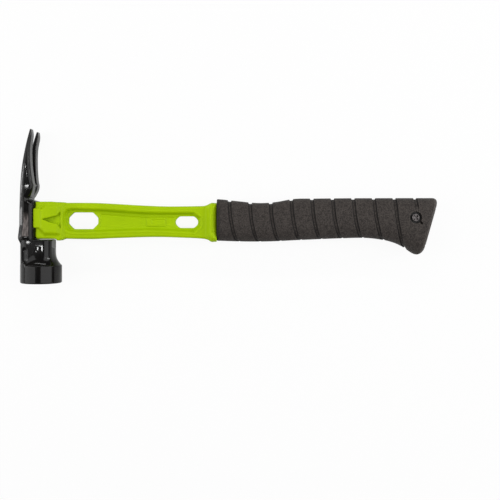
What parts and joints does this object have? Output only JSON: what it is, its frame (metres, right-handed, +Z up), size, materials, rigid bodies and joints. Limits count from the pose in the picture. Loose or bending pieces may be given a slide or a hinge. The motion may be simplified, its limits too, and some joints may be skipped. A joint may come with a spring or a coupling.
{
  "type": "claw hammer",
  "caption": "Modular claw hammer: black steel head with a straight split claw and smooth round face, coated metal handle with windows, spiral-grooved rubber grip with a flared butt.",
  "frame": {"origin": "bottom centre of the bounding box: the hammer lies on its side, and the side of the face rim touches the surface at z = 0", "axes": "+X from the head to the butt of the grip, +Y from the striking face to the claw, +Z up through the side of the hammer"},
  "size_m": [0.3556, 0.13, 0.035],
  "materials": {
    "head_steel": "gloss black forged steel",
    "handle_coat": "satin yellow-green powder coat on a casting",
    "bolt_steel": "black oxide",
    "bright_steel": "zinc or nickel plated",
    "core_plastic": "glass-filled nylon",
    "grip_rubber": "matt moulded rubber",
    "cap_rubber": "hard matt rubber"
  },
  "bodies": {
    "root": {"head": "head_steel", "nail_magnet": "bright_steel", "head_bolt": "bolt_steel", "bolt_washer": "bright_steel", "thread_insert": "bright_steel", "handle": "handle_coat", "grip_core": "core_plastic", "grip_overlay": "grip_rubber", "grip_cap": "cap_rubber", "grip_screw": "bolt_steel", "grip_barrel_nut": "bolt_steel"}
  },
  "joints": []
}
